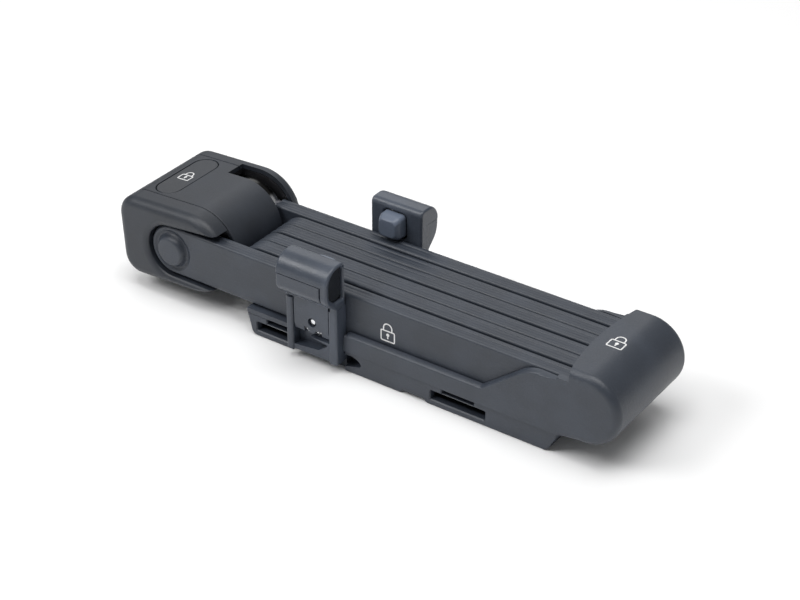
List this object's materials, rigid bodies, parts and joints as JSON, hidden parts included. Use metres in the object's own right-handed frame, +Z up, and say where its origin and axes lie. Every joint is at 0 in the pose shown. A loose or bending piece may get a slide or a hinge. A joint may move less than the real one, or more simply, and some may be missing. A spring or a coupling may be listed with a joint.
{
  "type": "folding link lock",
  "caption": "Folding bike lock of riveted sleeved links with a keyed lock head, stored in a frame bracket with a hollow nose and two spring catches.",
  "frame": {"origin": "middle of the mounting foot's underside", "axes": "+X along the links towards the closed nose, +Z up away from the bicycle tube, +Y across the stack of links"},
  "size_m": [0.2591, 0.0774, 0.0535],
  "materials": {
    "soft_plastic": "soft moulded link sleeve, fine matte grain",
    "bracket_plastic": "moulded nylon, fine spark-eroded grain",
    "head_plastic": "soft-touch moulded cover, satin",
    "hard_steel": "hardened steel, phosphated",
    "chrome": "bright chrome plate",
    "brass": "turned brass",
    "spring_steel": "bright spring steel"
  },
  "bodies": {
    "bracket": {"bracket_body": "bracket_plastic", "mounting_foot": "bracket_plastic", "foot_screw_1": "spring_steel", "foot_screw_2": "spring_steel", "foot_screw_3": "spring_steel", "foot_screw_4": "spring_steel", "near_catch_post": "bracket_plastic", "near_catch_pin": "spring_steel", "near_catch_stud": "chrome", "near_catch_spring": "spring_steel", "far_catch_post": "bracket_plastic", "far_catch_pin": "spring_steel", "far_catch_stud": "chrome", "far_catch_spring": "spring_steel"},
    "near_catch": {"near_catch_lever": "bracket_plastic"},
    "far_catch": {"far_catch_lever": "bracket_plastic"},
    "link_1": {"link_1_bar": "hard_steel", "link_1_cover": "soft_plastic", "rivet_12": "hard_steel", "head_rivet": "hard_steel", "washer_12": "hard_steel"},
    "link_2": {"link_2_bar": "hard_steel", "link_2_cover": "soft_plastic", "rivet_23": "hard_steel", "washer_23": "hard_steel"},
    "link_3": {"link_3_bar": "hard_steel", "link_3_cover": "soft_plastic", "rivet_34": "hard_steel", "washer_34": "hard_steel"},
    "link_4": {"link_4_bar": "hard_steel", "link_4_cover": "soft_plastic", "rivet_45": "hard_steel", "washer_45": "hard_steel"},
    "link_5": {"link_5_bar": "hard_steel", "link_5_cover": "soft_plastic", "rivet_56": "hard_steel", "washer_56": "hard_steel"},
    "link_6": {"link_6_bar": "chrome", "link_6_cover": "soft_plastic"},
    "lock_head": {"head_core": "hard_steel", "head_near_cheek": "head_plastic", "head_barrel_cover": "head_plastic", "head_far_cheek": "head_plastic", "lock_cylinder": "brass", "cylinder_pin": "spring_steel"},
    "key_cover": {"key_cover": "soft_plastic"},
    "key_plug": {"key_plug": "brass", "drive_cam": "hard_steel"},
    "bolt": {"lock_bolt": "chrome"}
  },
  "joints": [
    {"name": "withdraw", "type": "slide", "parent": "bracket", "child": "link_1", "axis": [-1, 0, 0], "range_m": [0, 0.3]},
    {"name": "fold_12", "type": "hinge", "parent": "link_1", "child": "link_2", "pos_m": [0.09, 0, 0.0255], "axis": [0, 1, 0], "range_deg": [0, 153.76]},
    {"name": "fold_23", "type": "hinge", "parent": "link_2", "child": "link_3", "pos_m": [-0.078, 0, 0.0255], "axis": [0, 1, 0], "range_deg": [-245.66, 0]},
    {"name": "fold_34", "type": "hinge", "parent": "link_3", "child": "link_4", "pos_m": [0.09, 0, 0.0255], "axis": [0, 1, 0], "range_deg": [0, 114.36]},
    {"name": "fold_45", "type": "hinge", "parent": "link_4", "child": "link_5", "pos_m": [-0.078, 0, 0.0255], "axis": [0, 1, 0], "range_deg": [-245.66, 0]},
    {"name": "fold_56", "type": "hinge", "parent": "link_5", "child": "link_6", "pos_m": [0.09, 0, 0.0255], "axis": [0, 1, 0], "range_deg": [0, 153.2]},
    {"name": "head_rock", "type": "hinge", "parent": "link_1", "child": "lock_head", "pos_m": [-0.122, 0, 0.0255], "axis": [0, 1, 0], "range_deg": [0, 5]},
    {"name": "key_cover_lift", "type": "hinge", "parent": "lock_head", "child": "key_cover", "pos_m": [-0.13536, 0.0216, 0.04632], "axis": [-0.999, 0, -0.0454], "range_deg": [0, 95]},
    {"name": "key_turn", "type": "hinge", "parent": "lock_head", "child": "key_plug", "pos_m": [-0.13439, 0.0034, 0.02494], "axis": [-0.0454, 0, 0.999], "range_deg": [0, 90]},
    {"name": "bolt_throw", "type": "slide", "parent": "lock_head", "child": "bolt", "axis": [0, 1, 0], "range_m": [0, 0.008]},
    {"name": "near_catch_swing", "type": "hinge", "parent": "bracket", "child": "near_catch", "pos_m": [-0.0392, -0.0291, 0.0162], "axis": [1, 0, 0], "range_deg": [0, 14], "stiffness_Nm_per_rad": 0.15, "springref_deg": -14.32},
    {"name": "far_catch_swing", "type": "hinge", "parent": "bracket", "child": "far_catch", "pos_m": [-0.0354, 0.0291, 0.0162], "axis": [-1, 0, 0], "range_deg": [0, 14], "stiffness_Nm_per_rad": 0.15, "springref_deg": -14.32}
  ],
  "couplings": [
    {"joint": "fold_12", "follows": "withdraw", "rad_per_m": 8.9449},
    {"joint": "fold_23", "follows": "withdraw", "rad_per_m": -14.291},
    {"joint": "fold_34", "follows": "withdraw", "rad_per_m": 6.6529},
    {"joint": "fold_45", "follows": "withdraw", "rad_per_m": -14.291},
    {"joint": "fold_56", "follows": "withdraw", "rad_per_m": 8.912},
    {"joint": "bolt_throw", "follows": "key_turn", "m_per_rad": 0.005093}
  ]
}
